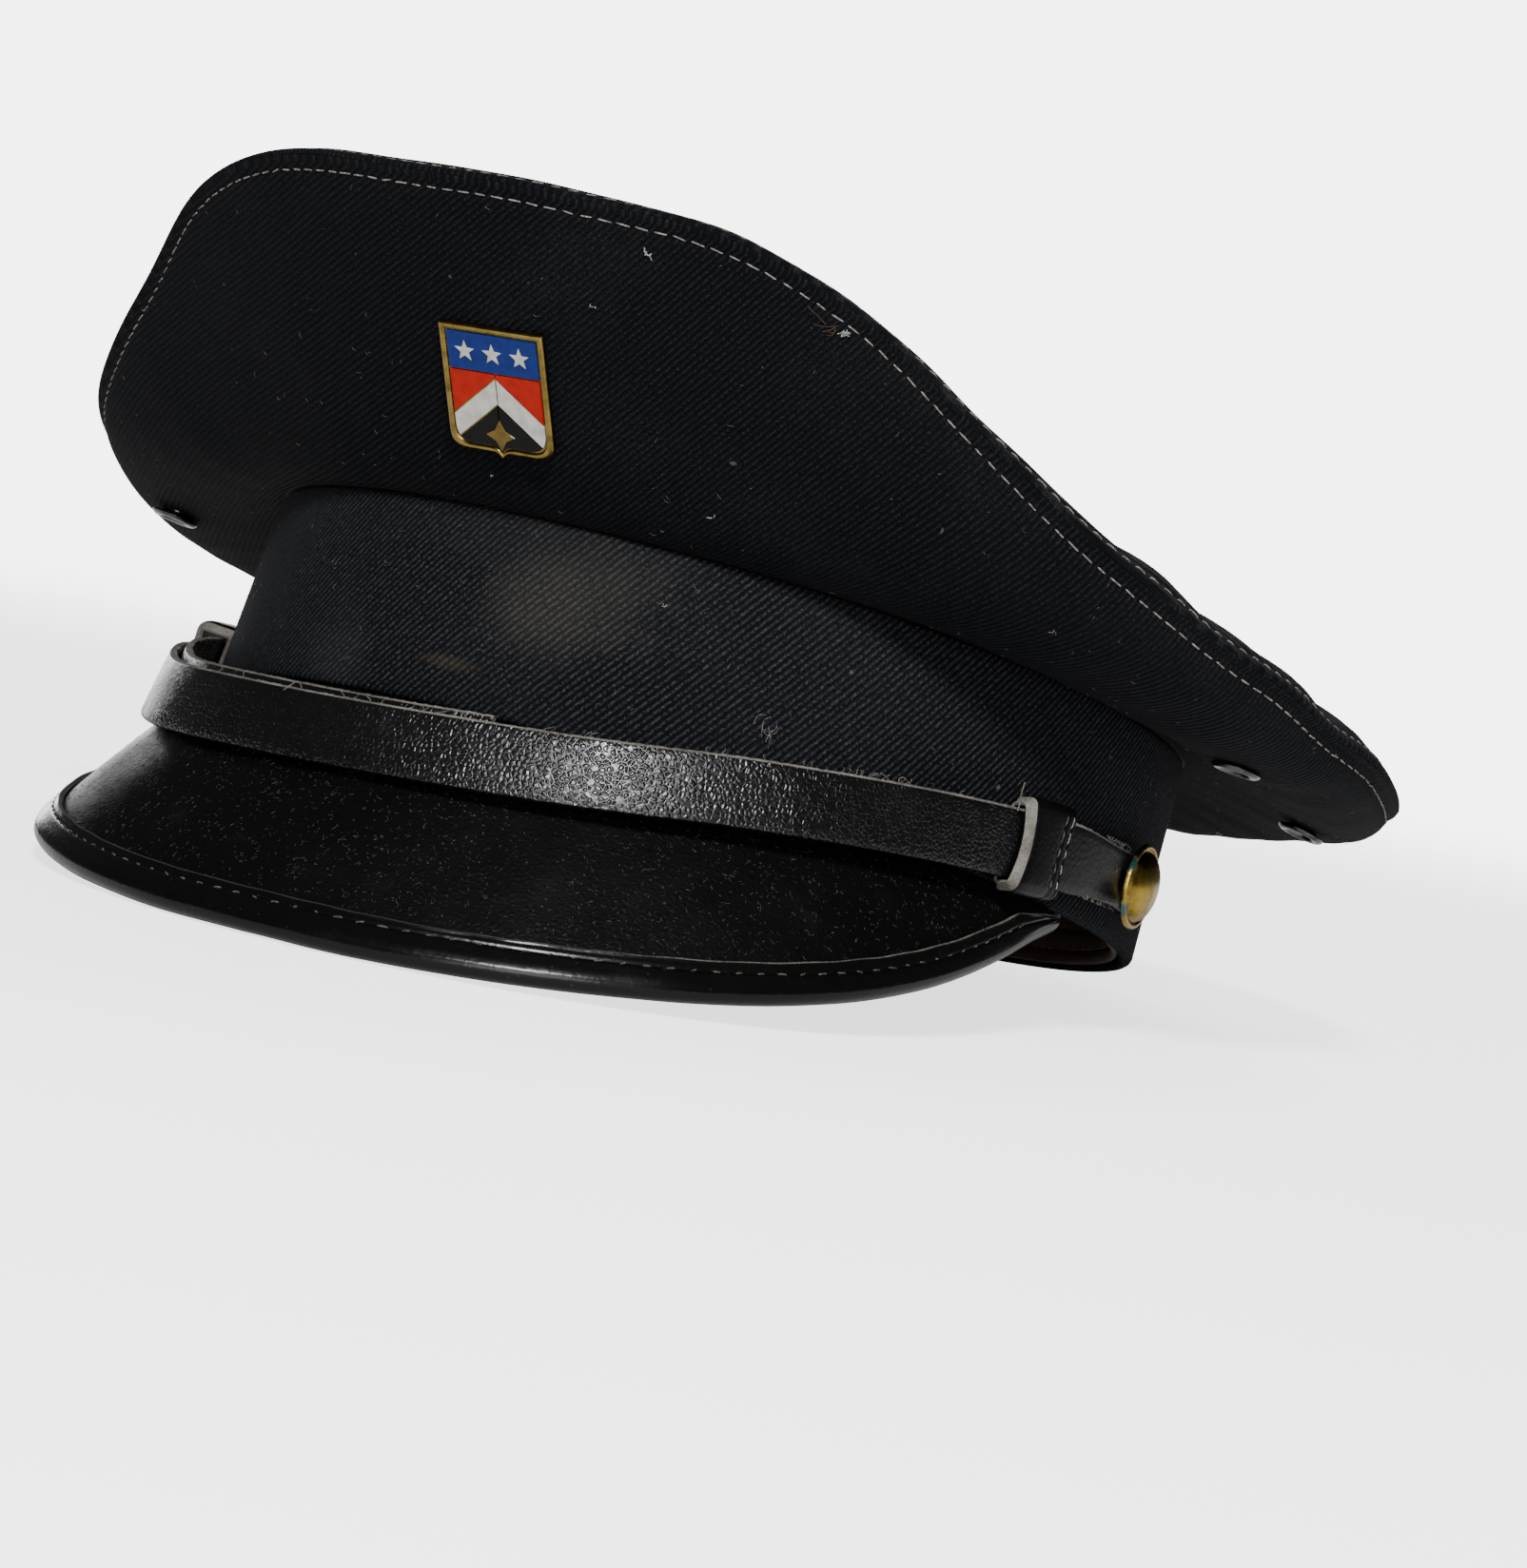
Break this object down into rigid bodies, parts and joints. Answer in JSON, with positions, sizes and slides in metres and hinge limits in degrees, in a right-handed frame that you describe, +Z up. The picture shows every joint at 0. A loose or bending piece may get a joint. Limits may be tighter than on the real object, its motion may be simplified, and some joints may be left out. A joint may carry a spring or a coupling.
{
  "type": "police cap",
  "caption": "Peaked uniform cap: flared cloth crown on a cloth band, bound leather peak, leather chin strap with keepers and side buttons, shield badge; hollow for a head.",
  "frame": {"origin": "on the table under the middle of the cap's overall box, the cap resting on its peak's edge and the rear of the band", "axes": "+Z up from the table, -Y towards the peak, +X towards the wearer's left"},
  "size_m": [0.262, 0.2744, 0.1322],
  "materials": {
    "cloth": "dark navy wool twill, matte, dusty",
    "sweatband_leather": "dark brown smooth leather",
    "peak_leather": "black leather, dull and dusty",
    "binding_leather": "black leather, glossy",
    "strap_leather": "black pebble-grained leather, glossy",
    "button_brass": "polished brass, tarnished at the edge",
    "eyelet_metal": "black lacquered metal",
    "badge_metal": "gilt metal",
    "badge_enamel": "glossy enamel in red, blue, gold and black"
  },
  "bodies": {
    "root": {"crown_top": "cloth", "crown_side": "cloth", "band": "cloth", "sweatband": "sweatband_leather", "peak": "peak_leather", "peak_binding": "binding_leather", "strap_outer": "strap_leather", "strap_inner": "strap_leather", "keeper_left": "strap_leather", "keeper_right": "strap_leather", "button_left": "button_brass", "button_right": "button_brass", "eyelet_left_front": "eyelet_metal", "eyelet_left_rear": "eyelet_metal", "eyelet_right_front": "eyelet_metal", "eyelet_right_rear": "eyelet_metal", "badge_plate": "badge_metal", "badge_enamel": "badge_enamel"}
  },
  "joints": []
}
